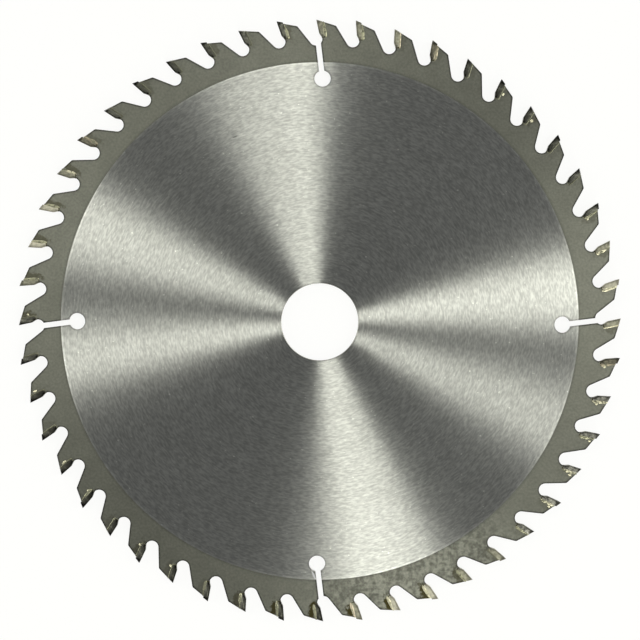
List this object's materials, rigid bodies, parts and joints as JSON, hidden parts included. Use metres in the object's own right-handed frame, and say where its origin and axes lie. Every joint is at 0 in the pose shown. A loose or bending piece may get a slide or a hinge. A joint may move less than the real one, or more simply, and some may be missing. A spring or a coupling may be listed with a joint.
{
  "type": "carbide-tipped circular saw blade",
  "caption": "Flat round steel saw blade with brazed carbide-tipped teeth, rounded gullets, keyhole expansion slots and a plain arbor bore.",
  "frame": {"origin": "middle of the arbor bore, halfway through the plate", "axes": "+Z along the arbor, out of the face from which the teeth point anticlockwise; +X through the cutting edge of a tooth that has an expansion slot in the gullet ahead of it"},
  "size_m": [0.235, 0.235, 0.0028],
  "materials": {
    "ground_steel": "bright ground disc inside a matt blasted rim",
    "carbide": "dark grey sintered carbide, ground on its flanks and top"
  },
  "bodies": {
    "root": {"blade_plate": "ground_steel", "carbide_tip_01": "carbide", "carbide_tip_02": "carbide", "carbide_tip_03": "carbide", "carbide_tip_04": "carbide", "carbide_tip_05": "carbide", "carbide_tip_06": "carbide", "carbide_tip_07": "carbide", "carbide_tip_08": "carbide", "carbide_tip_09": "carbide", "carbide_tip_10": "carbide", "carbide_tip_11": "carbide", "carbide_tip_12": "carbide", "carbide_tip_13": "carbide", "carbide_tip_14": "carbide", "carbide_tip_15": "carbide", "carbide_tip_16": "carbide", "carbide_tip_17": "carbide", "carbide_tip_18": "carbide", "carbide_tip_19": "carbide", "carbide_tip_20": "carbide", "carbide_tip_21": "carbide", "carbide_tip_22": "carbide", "carbide_tip_23": "carbide", "carbide_tip_24": "carbide", "carbide_tip_25": "carbide", "carbide_tip_26": "carbide", "carbide_tip_27": "carbide", "carbide_tip_28": "carbide", "carbide_tip_29": "carbide", "carbide_tip_30": "carbide", "carbide_tip_31": "carbide", "carbide_tip_32": "carbide", "carbide_tip_33": "carbide", "carbide_tip_34": "carbide", "carbide_tip_35": "carbide", "carbide_tip_36": "carbide", "carbide_tip_37": "carbide", "carbide_tip_38": "carbide", "carbide_tip_39": "carbide", "carbide_tip_40": "carbide", "carbide_tip_41": "carbide", "carbide_tip_42": "carbide", "carbide_tip_43": "carbide", "carbide_tip_44": "carbide", "carbide_tip_45": "carbide", "carbide_tip_46": "carbide", "carbide_tip_47": "carbide", "carbide_tip_48": "carbide"}
  },
  "joints": []
}
